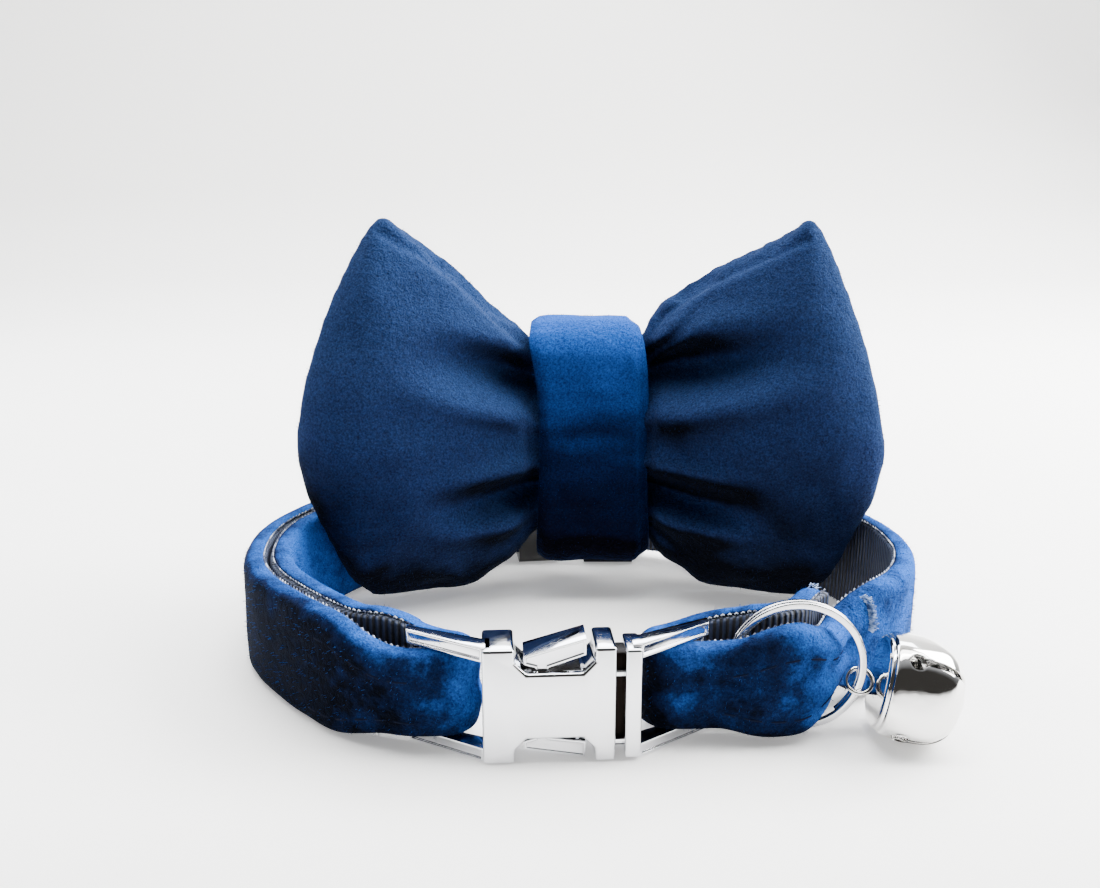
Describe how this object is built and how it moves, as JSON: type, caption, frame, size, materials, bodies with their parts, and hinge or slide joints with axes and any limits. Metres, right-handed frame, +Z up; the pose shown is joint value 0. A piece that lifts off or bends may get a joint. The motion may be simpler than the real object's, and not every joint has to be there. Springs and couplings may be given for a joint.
{
  "type": "cat collar",
  "caption": "Velvet cat collar with a padded bow tie, a metal side release buckle, a split ring and a small bell.",
  "frame": {"origin": "on the surface the collar lies on, under the middle of its bounding box", "axes": "+X to the right along the buckle, +Y from the buckle to the back of the neck, +Z up"},
  "size_m": [0.0892, 0.0714, 0.0566],
  "materials": {
    "webbing": "woven navy tape",
    "velvet": "navy velvet pile",
    "bow_velvet": "navy velvet pile",
    "knot_velvet": "navy velvet pile",
    "chrome": "polished plate",
    "elastic": "flat black elastic",
    "keeper_steel": "satin black"
  },
  "bodies": {
    "root": {"band_webbing": "webbing", "band_velvet": "velvet", "buckle_socket": "chrome", "buckle_lever_upper": "chrome", "buckle_lever_lower": "chrome", "buckle_plug": "chrome", "split_ring": "chrome", "bell_shell": "chrome", "bell_ball": "chrome", "bow_wings": "bow_velvet", "bow_knot": "knot_velvet", "bow_elastic": "elastic", "band_keeper": "keeper_steel"}
  },
  "joints": []
}
